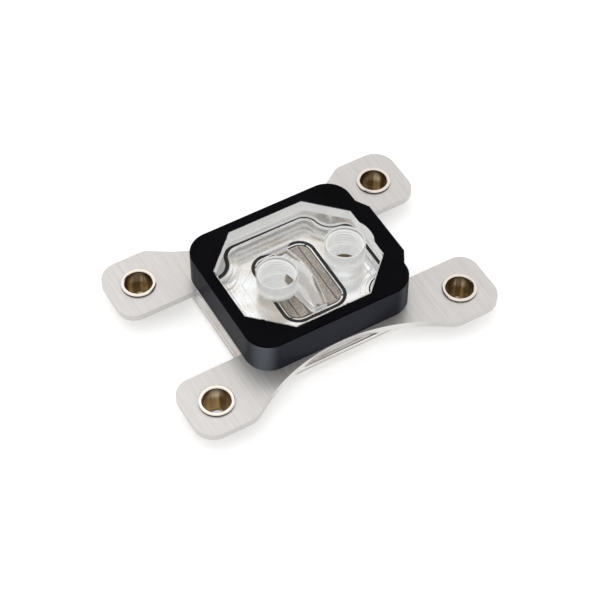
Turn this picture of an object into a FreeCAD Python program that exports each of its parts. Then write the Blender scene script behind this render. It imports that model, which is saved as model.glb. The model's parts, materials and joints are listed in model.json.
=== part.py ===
import FreeCAD, Part
import math
import os
import Sketcher

# A liquid cooling cold plate with a see-through flow chamber, in millimetres.
# The origin is the middle of the contact face, +Z points up through the ports,
# +X runs along the long hole spacing towards the outlet port and +Y to the back.

SIZES = {
    # Mounting holes of the bracket
    "hole_spacing_x": 90.0,
    "hole_spacing_y": 54.0,
    # Clear top: a wide flange under the frame and a boss that fills its window
    "flange_half_x": 27.7,
    "flange_half_y": 24.0,
    "flange_corner": 6.75,
    "flange_thick": 7.4,
    "boss_height": 7.5,
    "window_setback_x": 1.95,
    "window_setback_y": 1.6,
    "window_facet_x": 13.6,
    "window_facet_y": 10.4,
    "clear_edge_break": 0.25,
    # Frame, whose skirt goes round the flange
    "skirt_wall_x": 1.65,
    "skirt_wall_y": 1.9,
    "frame_edge_break": 0.4,
    "frame_bulge_depth": 2.75,
    "frame_bulge_front_margin": 0.5,
    "frame_bulge_back_margin": 3.7,
    "frame_bulge_slope_y": 4.6,
    # Cold plate
    "plate_beyond_frame_x": 1.55,
    "plate_beyond_frame_y": 2.0,
    "plate_corner": 4.0,
    "plate_thick": 3.0,
    "plate_edge_break": 0.25,
    # Micro-fins, cut into the middle of the plate
    "fin_field_half_x": 9.6,
    "fin_field_half_y": 13.4,
    "fin_field_corner": 3.9,
    "fin_border": 0.35,
    "fin_root_level": 1.1,
    "fin_pitch": 1.2,
    "fin_gap": 0.6,
    "cross_cut_pitch": 3.5,
    "cross_cut_width": 0.35,
    # Seal round the fins
    "inner_seal_standoff": 1.4,
    "inner_seal_width": 1.2,
    "inner_seal_depth": 1.0,
    # Bracket, whose arms are placed from its holes
    "bracket_thick": 2.5,
    "arm_end_margin": 10.6,
    "arm_outer_margin": 11.6,
    "arm_inner_margin": 12.0,
    "web_setback": 0.25,
    "front_arc_radius": 60.4,
    "front_arc_clearance": 0.1,
    "arm_outer_corner": 7.2,
    "arm_inner_corner": 6.3,
    "arm_shoulder_corner": 6.0,
    "web_corner": 0.8,
    # Bushings pressed into the arms
    "bushing_bore_radius": 4.6,
    "bushing_wall": 0.6,
    "bushing_rim_width": 1.2,
    "bushing_rim_height": 0.8,
    "bushing_bore_depth": 8.0,
    "bushing_floor": 1.0,
    "bushing_screw_hole_radius": 2.3,
    "bushing_edge_break": 0.25,
    # Ports and passages in the clear top
    "port_spacing": 25.4,
    "outlet_port_setback": 10.4,
    "port_thread_radius": 6.58,
    "port_thread_depth": 8.8,
    "port_thread_relief": 0.58,
    "port_floor_height": 3.4,
    "port_wall": 3.02,
    "inlet_dimple_radius": 3.4,
    "inlet_dimple_depth": 0.4,
    "outlet_hole_radius": 4.8,
    # Jet over the fins: a tapered duct whose walls reach down to them
    "jet_half_width": 3.6,
    "jet_half_waist": 3.4,
    "jet_end_half_width": 1.5,
    "jet_front_y": 13.2,
    "jet_back_y": 11.3,
    "jet_roof_inset": 0.5,
    "jet_roof_end_y": 5.0,
    "jet_roof_level": 6.4,
    "jet_wall": 0.9,
    "jet_fin_gap": 0.1,
    # Outer seal, which passes round the corner screws
    "outer_seal_setback_x": 1.7,
    "outer_seal_setback_y": 1.6,
    "outer_seal_side_bend": 4.0,
    "outer_seal_end_bend": 5.5,
    "outer_seal_screw_bend": 6.2,
    "outer_seal_width": 1.5,
    "outer_seal_depth": 1.3,
    # Stepped chamber inside the outer seal
    "chamber_step_inset": 1.9,
    "chamber_step_depth": 1.3,
    "chamber_inset": 3.6,
    "chamber_depth": 2.7,
    "shelf_inset": 4.6,
    "shelf_width": 3.4,
    "shelf_end_x": 6.0,
    "shelf_depth": 3.3,
    # Screws that hold plate, clear top and frame together from below
    "screw_setback_x": 4.5,
    "screw_setback_y": 5.0,
    "screw_radius": 1.5,
    "screw_head_radius": 2.8,
    "screw_head_height": 1.4,
    "screw_head_sink": 0.15,
    "screw_length": 14.0,
    "screw_hex_across": 2.0,
    "screw_hex_depth": 0.9,
    "screw_hole_radius": 1.7,
    "tapped_hole_radius": 1.53,
    "tapped_hole_depth": 5.0,
    # Gap between pieces that slide into each other
    "fit_gap": 0.1,
}

CORNERS = [(-1, 1), (1, 1), (1, -1), (-1, -1)]

doc = FreeCAD.newDocument("cold_plate_block")
sheet = doc.addObject("Spreadsheet::Sheet", "sizes")
for row, (name, number) in enumerate(SIZES.items(), start=1):
    sheet.set(f"A{row}", name)
    sheet.set(f"B{row}", str(number))
    sheet.setAlias(f"B{row}", name)
doc.recompute()


class Size:
    """A length that knows both its value and the sheet expression that gives it."""

    def __init__(self, text, value):
        self.text = text
        self.value = value

    def join(self, other, sign, value):
        return Size(f"({self.text} {sign} {other.text})", value)

    def __add__(self, other):
        return self.join(other, "+", self.value + other.value)

    def __sub__(self, other):
        return self.join(other, "-", self.value - other.value)

    def __mul__(self, factor):
        return Size(f"({self.text} * {factor})", self.value * factor)

    def __neg__(self):
        return self * -1


def size(name):
    return Size(f"sizes.{name}", SIZES[name])


def bind(thing, prop, length):
    thing.setExpression(prop, length.text)


ZERO = Size("0", 0.0)
gap = size("fit_gap")

# Levels of the stack above the contact face
plate_top = size("plate_thick")
bracket_top = plate_top + size("bracket_thick")
flange_top = plate_top + size("flange_thick")
top = flange_top + size("boss_height")

# Outlines that follow from each other
hole_x = size("hole_spacing_x") * 0.5
hole_y = size("hole_spacing_y") * 0.5
frame_half_x = size("flange_half_x") + gap + size("skirt_wall_x")
frame_half_y = size("flange_half_y") + gap + size("skirt_wall_y")
bushing_body = size("bushing_bore_radius") + size("bushing_wall")
window_half_x = size("flange_half_x") - size("window_setback_x")
window_half_y = size("flange_half_y") - size("window_setback_y")
seal_half_x = size("flange_half_x") - size("outer_seal_setback_x")
seal_half_y = size("flange_half_y") - size("outer_seal_setback_y")
screw_x = size("flange_half_x") - size("screw_setback_x")
screw_y = size("flange_half_y") - size("screw_setback_y")
outlet_x = size("flange_half_x") - size("outlet_port_setback")
inlet_x = outlet_x - size("port_spacing")
port_floor = plate_top + size("port_floor_height")
lobe_radius = size("port_thread_radius") + size("port_wall")


# Sketch and feature helpers

def new_body(label):
    body = doc.addObject("PartDesign::Body", label)
    body.Label = label
    return body


def new_sketch(body, level=ZERO, role="XY_Plane"):
    sketch = body.newObject("Sketcher::SketchObject", f"{body.Label}_sketch")
    plane = [item for item in body.Origin.OriginFeatures if item.Role == role][0]
    sketch.AttachmentSupport = [(plane, "")]
    sketch.MapMode = "FlatFace"
    bind(sketch, "AttachmentOffset.Base.z", level)
    return sketch


def place(sketch, geometry, point, x, y):
    """Hold one sketch point at x, y."""
    for kind, axis, length in (("DistanceX", -2, x), ("DistanceY", -1, y)):
        if length is ZERO:
            sketch.addConstraint(Sketcher.Constraint("PointOnObject", geometry, point, axis))
        else:
            index = sketch.addConstraint(
                Sketcher.Constraint(kind, -1, 1, geometry, point, length.value))
            bind(sketch, f"Constraints[{index}]", length)


def polygon(sketch, corners):
    """Closed outline whose corners are pairs of sizes."""
    points = [FreeCAD.Vector(x.value, y.value, 0) for x, y in corners]
    count = len(points)
    lines = [Part.LineSegment(points[i], points[(i + 1) % count]) for i in range(count)]
    first = sketch.addGeometry(lines, False)[0]
    for i in range(count):
        after = first + (i + 1) % count
        sketch.addConstraint(Sketcher.Constraint("Coincident", first + i, 2, after, 1))
    for i, (x, y) in enumerate(corners):
        place(sketch, first + i, 1, x, y)


def circle(sketch, x, y, radius):
    shape = Part.Circle(FreeCAD.Vector(x.value, y.value, 0), FreeCAD.Vector(0, 0, 1), radius.value)
    index = sketch.addGeometry(shape, False)
    place(sketch, index, 3, x, y)
    held = sketch.addConstraint(Sketcher.Constraint("Radius", index, radius.value))
    bind(sketch, f"Constraints[{held}]", radius)


def rectangle(sketch, low_x, low_y, high_x, high_y):
    polygon(sketch, [(low_x, low_y), (high_x, low_y), (high_x, high_y), (low_x, high_y)])


def centred_rectangle(sketch, half_x, half_y):
    rectangle(sketch, -half_x, -half_y, half_x, half_y)


def rounded_rectangle(sketch, half_x, half_y, corner):
    """Rectangle about the origin with equal round corners, held by its sides and one radius."""
    hx, hy, r = half_x.value, half_y.value, corner.value
    centres = [(hx - r, hy - r), (r - hx, hy - r), (r - hx, r - hy), (hx - r, r - hy)]
    arcs = []
    lines = []
    for i, (cx, cy) in enumerate(centres):
        start = i * math.pi / 2
        arc = Part.ArcOfCircle(
            Part.Circle(FreeCAD.Vector(cx, cy, 0), FreeCAD.Vector(0, 0, 1), r),
            start, start + math.pi / 2)
        arcs.append(sketch.addGeometry(arc, False))
    for i in range(4):
        one = sketch.getPoint(arcs[i], 2)
        two = sketch.getPoint(arcs[(i + 1) % 4], 1)
        lines.append(sketch.addGeometry(Part.LineSegment(one, two), False))
    for i in range(4):
        sketch.addConstraint(Sketcher.Constraint("Tangent", arcs[i], 2, lines[i], 1))
        sketch.addConstraint(Sketcher.Constraint("Tangent", lines[i], 2, arcs[(i + 1) % 4], 1))
        if i:
            sketch.addConstraint(Sketcher.Constraint("Equal", arcs[0], arcs[i]))
    sketch.addConstraint(Sketcher.Constraint("Horizontal", lines[0]))
    sketch.addConstraint(Sketcher.Constraint("Vertical", lines[1]))
    sides = [("DistanceY", lines[0], half_y), ("DistanceX", lines[1], -half_x),
             ("DistanceY", lines[2], -half_y), ("DistanceX", lines[3], half_x)]
    for kind, line, length in sides:
        index = sketch.addConstraint(Sketcher.Constraint(kind, -1, 1, line, 1, length.value))
        bind(sketch, f"Constraints[{index}]", length)
    index = sketch.addConstraint(Sketcher.Constraint("Radius", arcs[0], r))
    bind(sketch, f"Constraints[{index}]", corner)


def arc_between(centre, radius, start, end):
    """Arc from one angle to the other, anticlockwise, in radians."""
    ring = Part.Circle(FreeCAD.Vector(centre[0], centre[1], 0), FreeCAD.Vector(0, 0, 1), radius)
    return Part.ArcOfCircle(ring, start, end)


def seal_outline(sketch, inset):
    """Path of the outer seal moved inwards: straight sides and ends that bend round each screw."""
    half_x = seal_half_x.value - inset
    half_y = seal_half_y.value - inset
    side_r = SIZES["outer_seal_side_bend"] - inset
    end_r = SIZES["outer_seal_end_bend"] - inset
    screw_r = SIZES["outer_seal_screw_bend"] + inset
    screw = (screw_x.value, screw_y.value)
    side_x = half_x - side_r
    side_y = screw[1] - math.sqrt((screw_r + side_r) ** 2 - (screw[0] - side_x) ** 2)
    end_y = half_y - end_r
    end_x = screw[0] - math.sqrt((screw_r + end_r) ** 2 - (screw[1] - end_y) ** 2)
    side_turn = math.atan2(screw[1] - side_y, screw[0] - side_x)
    end_turn = math.atan2(screw[1] - end_y, screw[0] - end_x)
    pieces = []
    for sx, sy in CORNERS:
        def turned(centre, radius, start, end):
            angles = [(a if sx > 0 else math.pi - a) * sy for a in (start, end)]
            if sx * sy < 0:
                angles.reverse()
            return arc_between((centre[0] * sx, centre[1] * sy), radius, angles[0], angles[1])
        pieces.append(turned((side_x, side_y), side_r, 0, side_turn))
        pieces.append(turned(screw, screw_r, math.pi + end_turn, math.pi + side_turn))
        pieces.append(turned((end_x, end_y), end_r, end_turn, math.pi / 2))
    for side in (-1, 1):
        pieces.append(Part.LineSegment(FreeCAD.Vector(side * half_x, -side_y, 0),
                                       FreeCAD.Vector(side * half_x, side_y, 0)))
        pieces.append(Part.LineSegment(FreeCAD.Vector(-end_x, side * half_y, 0),
                                       FreeCAD.Vector(end_x, side * half_y, 0)))
    sketch.addGeometry(pieces, False)


def shelf_outline(sketch):
    """Band along the left side and the back that bends round the screw between them."""
    screw = (-screw_x.value, screw_y.value)
    end_x = SIZES["shelf_end_x"]

    def side(inset):
        radius = SIZES["outer_seal_screw_bend"] + inset
        line_x = inset - seal_half_x.value
        line_y = seal_half_y.value - inset
        low_y = screw[1] - math.sqrt(radius ** 2 - (line_x - screw[0]) ** 2)
        far_x = screw[0] + math.sqrt(radius ** 2 - (line_y - screw[1]) ** 2)
        start = math.atan2(low_y - screw[1], line_x - screw[0])
        finish = math.atan2(line_y - screw[1], far_x - screw[0])
        return line_x, line_y, low_y, far_x, arc_between(screw, radius, start, finish)

    outer_x, outer_y, low_y, far_x, outer_arc = side(SIZES["shelf_inset"])
    inner_x, inner_y, inner_low_y, inner_far_x, inner_arc = side(
        SIZES["shelf_inset"] + SIZES["shelf_width"])

    def line(*ends):
        return Part.LineSegment(*(FreeCAD.Vector(x, y, 0) for x, y in ends))

    sketch.addGeometry([
        line((end_x, outer_y), (far_x, outer_y)), outer_arc,
        line((outer_x, low_y), (outer_x, -low_y)), line((outer_x, -low_y), (inner_x, -low_y)),
        line((inner_x, -low_y), (inner_x, inner_low_y)), inner_arc,
        line((inner_far_x, inner_y), (end_x, inner_y)), line((end_x, inner_y), (end_x, outer_y)),
    ], False)


def grow(body, sketch, length, upwards=True):
    pad = body.newObject("PartDesign::Pad", f"{body.Label}_pad")
    pad.Profile = sketch
    pad.Reversed = not upwards
    bind(pad, "Length", length)
    doc.recompute()
    return pad


def cut(body, sketch, depth, upwards=False):
    """Pocket of the given depth. It has to take material away."""
    before = body.Shape.Volume
    pocket = body.newObject("PartDesign::Pocket", f"{body.Label}_pocket")
    pocket.Profile = sketch
    pocket.Reversed = upwards
    bind(pocket, "Length", depth)
    doc.recompute()
    if body.Shape.Volume > before - 1e-6:
        raise RuntimeError(f"a pocket of {body.Label} cuts nothing")
    return pocket


def repeat(body, feature, sketch, axis, span, count):
    """Evenly spaced copies of one cut over the given span."""
    pattern = body.newObject("PartDesign::LinearPattern", f"{body.Label}_pattern")
    pattern.Originals = [feature]
    pattern.Refine = False
    pattern.Direction = (sketch, [axis])
    pattern.Occurrences = count
    bind(pattern, "Length", span)
    body.Tip = pattern
    doc.recompute()
    return pattern


def upright_edges(shape, points):
    """Names of the vertical edges that stand at the given x, y places."""
    names = []
    for number, edge in enumerate(shape.Edges, start=1):
        low, high = edge.Vertexes[0].Point, edge.Vertexes[-1].Point
        if abs(low.z - high.z) < 1e-6 or math.hypot(low.x - high.x, low.y - high.y) > 1e-6:
            continue
        if any(math.hypot(low.x - x, low.y - y) < 1e-4 for x, y in points):
            names.append(f"Edge{number}")
    return names


def rim_edges(shape, level, facing):
    """Names of the outer edges of the largest flat face at a level that faces up or down."""
    faces = [face for face in shape.Faces
             if face.Surface.TypeId == "Part::GeomPlane"
             and abs(face.BoundBox.ZMin - level) < 1e-6
             and abs(face.BoundBox.ZMax - level) < 1e-6
             and face.normalAt(0, 0).z * facing > 0.5]
    rim = max(faces, key=lambda face: Part.Face(face.OuterWire).Area).OuterWire
    return [f"Edge{number}" for number, edge in enumerate(shape.Edges, start=1)
            if any(edge.isSame(side) for side in rim.Edges)]


def dress(body, kind, edges, prop, length):
    """Fillet or chamfer on the named edges of the body so far."""
    if not edges:
        raise RuntimeError(f"no edges found to {kind} on {body.Label}")
    feature = body.newObject(f"PartDesign::{kind}", f"{body.Label}_{kind.lower()}")
    feature.Base = (body.Tip if body.Tip is not feature else feature.BaseFeature, edges)
    bind(feature, prop, length)
    body.Tip = feature
    doc.recompute()
    return feature


def all_corners(x, y):
    return [(sx * x.value, sy * y.value) for sx, sy in CORNERS]


def four_circles(sketch, x, y, radius):
    for sx, sy in CORNERS:
        circle(sketch, x * sx, y * sy, radius)


# Cold plate, with its micro-fins and the groove of the inner seal

def make_cold_plate():
    body = new_body("cold_plate")
    base = new_sketch(body)
    rounded_rectangle(base, frame_half_x + size("plate_beyond_frame_x"),
                      frame_half_y + size("plate_beyond_frame_y"), size("plate_corner"))
    grow(body, base, plate_top)
    dress(body, "Chamfer",
          rim_edges(body.Shape, plate_top.value, 1) + rim_edges(body.Shape, 0.0, -1),
          "Size", size("plate_edge_break"))

    field_x, field_y = size("fin_field_half_x"), size("fin_field_half_y")
    corner, border = size("fin_field_corner"), size("fin_border")
    sunk = new_sketch(body, plate_top)
    rounded_rectangle(sunk, field_x + border, field_y + border, corner + border)
    cut(body, sunk, plate_top - size("fin_root_level"))
    block = new_sketch(body, size("fin_root_level"))
    rounded_rectangle(block, field_x, field_y, corner)
    fin_height = plate_top - size("fin_root_level")
    grow(body, block, fin_height)

    pitch, half_gap = size("fin_pitch"), size("fin_gap") * 0.5
    gaps = 2 * int((field_y.value - half_gap.value) / pitch.value) + 1
    span = pitch * (gaps - 1)
    slot = new_sketch(body, plate_top)
    rectangle(slot, -field_x - border * 0.5, -span * 0.5 - half_gap,
              field_x + border * 0.5, -span * 0.5 + half_gap)
    first = cut(body, slot, fin_height)
    repeat(body, first, slot, "V_Axis", span, gaps)

    step, half_cut = size("cross_cut_pitch"), size("cross_cut_width") * 0.5
    cuts = 2 * int((field_x.value - half_cut.value) / step.value) + 1
    reach = step * (cuts - 1)
    cross = new_sketch(body, plate_top)
    rectangle(cross, -reach * 0.5 - half_cut, -field_y - border * 0.5,
              -reach * 0.5 + half_cut, field_y + border * 0.5)
    first = cut(body, cross, fin_height)
    repeat(body, first, cross, "H_Axis", reach, cuts)

    groove = new_sketch(body, plate_top)
    inner_seal_outlines(groove)
    cut(body, groove, size("inner_seal_depth"))

    holes = new_sketch(body, ZERO)
    four_circles(holes, screw_x, screw_y, size("screw_hole_radius"))
    doc.recompute()
    hole = body.newObject("PartDesign::Hole", "cold_plate_screw_holes")
    hole.Profile = holes
    hole.Reversed = True
    hole.Threaded = False
    hole.DepthType = 1
    hole.HoleCutType = "Countersink"
    hole.HoleCutCustomValues = True
    hole.HoleCutCountersinkAngle = 90
    bind(hole, "Diameter", size("screw_hole_radius") * 2)
    bind(hole, "HoleCutDiameter",
         (size("screw_head_radius") + size("screw_head_sink") + gap) * 2)
    body.Tip = hole
    doc.recompute()
    return body


def inner_seal_outlines(sketch):
    """Both sides of the band that the inner seal lies in."""
    half, standoff = size("inner_seal_width") * 0.5, size("inner_seal_standoff")
    for reach in (standoff + half, standoff - half):
        rounded_rectangle(sketch, size("fin_field_half_x") + reach,
                          size("fin_field_half_y") + reach, size("fin_field_corner") + reach)


def make_inner_seal():
    body = new_body("inner_seal")
    band = new_sketch(body, plate_top - size("inner_seal_depth"))
    inner_seal_outlines(band)
    grow(body, band, size("inner_seal_depth"))
    return body


def make_outer_seal():
    body = new_body("outer_seal")
    band = new_sketch(body, plate_top)
    outer_seal_outlines(band)
    grow(body, band, size("outer_seal_depth"))
    return body


def outer_seal_outlines(sketch):
    """Both sides of the band that the outer seal lies in."""
    half = SIZES["outer_seal_width"] / 2
    seal_outline(sketch, -half)
    seal_outline(sketch, half)


# Bracket: a flat steel plate with four arms, drawn as one blank and cut out

def make_bracket():
    body = new_body("mounting_bracket")
    half_x = hole_x + size("arm_end_margin")
    half_y = hole_y + size("arm_outer_margin")
    inner_y = hole_y - size("arm_inner_margin")
    web_x = frame_half_x - size("web_setback")
    blank = new_sketch(body, plate_top)
    centred_rectangle(blank, half_x, half_y)
    grow(body, blank, size("bracket_thick"))

    radius = size("front_arc_radius")
    centre_y = frame_half_y + size("front_arc_clearance") + radius
    arcs = new_sketch(body, bracket_top)
    circle(arcs, ZERO, centre_y, radius)
    circle(arcs, ZERO, -centre_y, radius)
    cut(body, arcs, size("bracket_thick"))

    sides = new_sketch(body, bracket_top)
    beyond = half_x + gap
    for sign in (-1, 1):
        polygon(sides, [(web_x * sign, -inner_y), (beyond * sign, -inner_y),
                        (beyond * sign, inner_y), (web_x * sign, inner_y)])
    cut(body, sides, size("bracket_thick"))

    opening = new_sketch(body, bracket_top)
    rounded_rectangle(opening, size("flange_half_x") + gap, size("flange_half_y") + gap,
                      size("flange_corner") + gap)
    cut(body, opening, size("bracket_thick"))

    holes = new_sketch(body, bracket_top)
    four_circles(holes, hole_x, hole_y, bushing_body)
    cut(body, holes, size("bracket_thick"))

    rise = centre_y.value - half_y.value
    shoulder_x = math.sqrt(radius.value ** 2 - rise ** 2)
    shoulders = [(sx * shoulder_x, sy * half_y.value) for sx, sy in CORNERS]
    rounds = [(all_corners(half_x, half_y), "arm_outer_corner"),
              (all_corners(half_x, inner_y), "arm_inner_corner"),
              (shoulders, "arm_shoulder_corner"),
              (all_corners(web_x, inner_y), "web_corner")]
    for places, name in rounds:
        dress(body, "Fillet", upright_edges(body.Shape, places), "Radius", size(name))
    return body


# Bushings: turned cups with a rim that sits on the arm and a floor with a screw hole

def make_bushing(number, sx, sy):
    body = new_body(f"bushing_{number}")
    rim_top = bracket_top + size("bushing_rim_height")
    floor_top = rim_top - size("bushing_bore_depth")
    floor_low = floor_top - size("bushing_floor")
    edge, hole = size("bushing_edge_break"), size("bushing_screw_hole_radius")
    bore = size("bushing_bore_radius")
    rim = bore + size("bushing_rim_width")
    section = new_sketch(body, ZERO, "XZ_Plane")
    polygon(section, [
        (hole, floor_low), (bushing_body, floor_low), (bushing_body, bracket_top),
        (rim, bracket_top), (rim, rim_top - edge), (rim - edge, rim_top),
        (bore + edge, rim_top), (bore, rim_top - edge), (bore, floor_top), (hole, floor_top)])
    turn(body, section)
    bind(body, "Placement.Base.x", hole_x * sx)
    bind(body, "Placement.Base.y", hole_y * sy)
    return body


def turn(body, section):
    """Revolve a section about the body's own Z axis."""
    solid = body.newObject("PartDesign::Revolution", f"{body.Label}_turned")
    solid.Profile = section
    solid.ReferenceAxis = (section, ["V_Axis"])
    solid.Angle = 360
    doc.recompute()
    return solid


# Clear top: flange, boss, ports, flow passages and the recess between the seals

def boss_outline(sketch, shrink):
    """Eight-sided window, with the longer facets along the sides."""
    half_x, half_y = window_half_x - shrink, window_half_y - shrink
    facet_x = size("window_facet_x") - shrink * 0.414
    facet_y = size("window_facet_y") - shrink * 0.414
    polygon(sketch, [
        (half_x, -facet_y), (half_x, facet_y), (facet_x, half_y), (-facet_x, half_y),
        (-half_x, facet_y), (-half_x, -facet_y), (-facet_x, -half_y), (facet_x, -half_y)])


def jet_corners(wall):
    """Long eight-sided outline of the jet, wide at the middle and narrow at both ends."""
    waist, middle = size("jet_half_waist"), size("jet_half_width") + wall
    tip = size("jet_end_half_width") + wall
    front, back = -size("jet_front_y") - wall, size("jet_back_y") + wall
    return [(tip, front), (middle, -waist), (middle, waist), (tip, back),
            (-tip, back), (-middle, waist), (-middle, -waist), (-tip, front)]


def make_clear_top():
    body = new_body("clear_top")
    flange = new_sketch(body, plate_top)
    rounded_rectangle(flange, size("flange_half_x"), size("flange_half_y"), size("flange_corner"))
    grow(body, flange, size("flange_thick"))
    boss = new_sketch(body, flange_top)
    boss_outline(boss, gap)
    grow(body, boss, size("boss_height"))
    lobe = new_sketch(body, flange_top)
    circle(lobe, outlet_x, ZERO, lobe_radius)
    grow(body, lobe, size("boss_height"))
    dress(body, "Chamfer", rim_edges(body.Shape, top.value, 1), "Size", size("clear_edge_break"))
    cut_ports(body)
    cut_chamber(body)
    cut_jet(body)

    groove = new_sketch(body, plate_top)
    outer_seal_outlines(groove)
    cut(body, groove, size("outer_seal_depth"), upwards=True)
    holes = new_sketch(body, plate_top)
    four_circles(holes, screw_x, screw_y, size("screw_hole_radius"))
    cut(body, holes, size("flange_thick"), upwards=True)
    return body


def cut_ports(body):
    threads = new_sketch(body, top)
    bores = new_sketch(body, top)
    for x in (inlet_x, outlet_x):
        circle(threads, x, ZERO, size("port_thread_radius"))
        circle(bores, x, ZERO, size("port_thread_radius") - size("port_thread_relief"))
    cut(body, threads, size("port_thread_depth"))
    cut(body, bores, top - port_floor)
    dimple = new_sketch(body, port_floor)
    circle(dimple, inlet_x, ZERO, size("inlet_dimple_radius"))
    cut(body, dimple, size("inlet_dimple_depth"))
    outlet = new_sketch(body, plate_top)
    circle(outlet, outlet_x, ZERO, size("outlet_hole_radius"))
    cut(body, outlet, size("port_floor_height") + gap, upwards=True)


def cut_chamber(body):
    """Stepped recess from below. The walls of the jet stay in its middle and reach the fins."""
    step = new_sketch(body, plate_top)
    seal_outline(step, SIZES["chamber_step_inset"])
    polygon(step, jet_corners(size("jet_wall")))
    cut(body, step, size("chamber_step_depth"), upwards=True)
    deep = new_sketch(body, plate_top)
    seal_outline(deep, SIZES["chamber_inset"])
    polygon(deep, jet_corners(size("jet_wall")))
    cut(body, deep, size("chamber_depth"), upwards=True)

    # A deeper shelf round the left side, which stops square at the back
    shelf = new_sketch(body, plate_top)
    shelf_outline(shelf)
    cut(body, shelf, size("shelf_depth"), upwards=True)

    foot = new_sketch(body, plate_top)
    polygon(foot, jet_corners(size("jet_wall")))
    cut(body, foot, size("jet_fin_gap"), upwards=True)


def cut_jet(body):
    mouth = new_sketch(body, plate_top)
    polygon(mouth, jet_corners(ZERO))
    roof = new_sketch(body, plate_top + size("jet_roof_level"))
    inset, waist, ends = size("jet_roof_inset"), size("jet_half_waist"), size("jet_roof_end_y")
    middle, tip = size("jet_half_width") - inset, size("jet_end_half_width") - inset
    polygon(roof, [(tip, -ends), (middle, -waist), (middle, waist), (tip, ends),
                   (-tip, ends), (-middle, waist), (-middle, -waist), (-tip, -ends)])
    before = body.Shape.Volume
    jet = body.newObject("PartDesign::SubtractiveLoft", "clear_top_jet")
    jet.Profile = mouth
    jet.Sections = [roof]
    jet.Ruled = True
    body.Tip = jet
    doc.recompute()
    if body.Shape.Volume > before - 1.0:
        raise RuntimeError("the jet cuts nothing")


# Frame: a black shell over the flange, with the window for the boss

def make_frame():
    body = new_body("top_frame")
    half_x, half_y = frame_half_x, frame_half_y
    corner = size("flange_corner") + gap + size("skirt_wall_x")
    height = top - bracket_top
    base = new_sketch(body, bracket_top)
    rounded_rectangle(base, half_x, half_y, corner)
    grow(body, base, height)

    reach, slope = half_x + size("frame_bulge_depth"), size("frame_bulge_slope_y")
    front = size("frame_bulge_front_margin") - (half_y - corner)
    back = half_y - corner - size("frame_bulge_back_margin")
    bulge = new_sketch(body, bracket_top)
    polygon(bulge, [
        (half_x - gap, front), (half_x, front), (reach, front + slope),
        (reach, back - slope), (half_x, back), (half_x - gap, back)])
    grow(body, bulge, height)
    dress(body, "Chamfer", rim_edges(body.Shape, top.value, 1), "Size", size("frame_edge_break"))

    shell = new_sketch(body, bracket_top)
    rounded_rectangle(shell, size("flange_half_x") + gap, size("flange_half_y") + gap,
                      size("flange_corner") + gap)
    cut(body, shell, flange_top - bracket_top, upwards=True)
    window = new_sketch(body, top)
    boss_outline(window, ZERO)
    cut(body, window, height)
    lobe = new_sketch(body, top)
    circle(lobe, outlet_x, ZERO, lobe_radius + gap)
    cut(body, lobe, height)

    holes = new_sketch(body, flange_top)
    four_circles(holes, screw_x, screw_y, size("tapped_hole_radius"))
    cut(body, holes, size("tapped_hole_depth"), upwards=True)
    return body


# Screws: countersunk heads in the underside of the plate, with a hexagon socket

def make_screw(number, sx, sy):
    body = new_body(f"screw_{number}")
    low = size("screw_head_sink")
    shank, head = size("screw_radius"), size("screw_head_radius")
    neck = low + size("screw_head_height")
    tip = low + size("screw_length")
    section = new_sketch(body, ZERO, "XZ_Plane")
    polygon(section, [(ZERO, low), (head, low), (shank, neck), (shank, tip), (ZERO, tip)])
    turn(body, section)
    socket = new_sketch(body, low)
    across = size("screw_hex_across")
    flat = across * 0.5
    side = across * 0.288675
    reach = across * 0.57735
    polygon(socket, [(reach, ZERO), (side, flat), (-side, flat),
                     (-reach, ZERO), (-side, -flat), (side, -flat)])
    cut(body, socket, size("screw_hex_depth"), upwards=True)
    bind(body, "Placement.Base.x", screw_x * sx)
    bind(body, "Placement.Base.y", screw_y * sy)
    return body


def main():
    pieces = [make_cold_plate(), make_inner_seal(), make_bracket()]
    for number, (sx, sy) in enumerate(CORNERS, start=1):
        pieces.append(make_bushing(number, sx, sy))
    pieces += [make_outer_seal(), make_clear_top(), make_frame()]
    for number, (sx, sy) in enumerate(CORNERS, start=1):
        pieces.append(make_screw(number, sx, sy))
    doc.recompute()

    for thing in doc.Objects:
        if "Invalid" in thing.State or "Error" in thing.State:
            raise RuntimeError(f"{thing.Label} failed: {thing.State}")
    os.makedirs("parts", exist_ok=True)
    for body in pieces:
        shape = body.Shape
        if shape.isNull() or not shape.isValid() or len(shape.Solids) != 1:
            raise RuntimeError(f"{body.Label} is not one valid solid")
        shape.exportStep(f"parts/{body.Label}.step")
        box = shape.BoundBox
        print(f"{body.Label:18} volume {shape.Volume:9.2f}  "
              f"x {box.XMin:7.2f} {box.XMax:7.2f}  y {box.YMin:7.2f} {box.YMax:7.2f}  "
              f"z {box.ZMin:6.2f} {box.ZMax:6.2f}")


main()
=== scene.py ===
import json
import math

import bmesh
import bpy
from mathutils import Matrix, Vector
from mathutils.bvhtree import BVHTree


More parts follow.
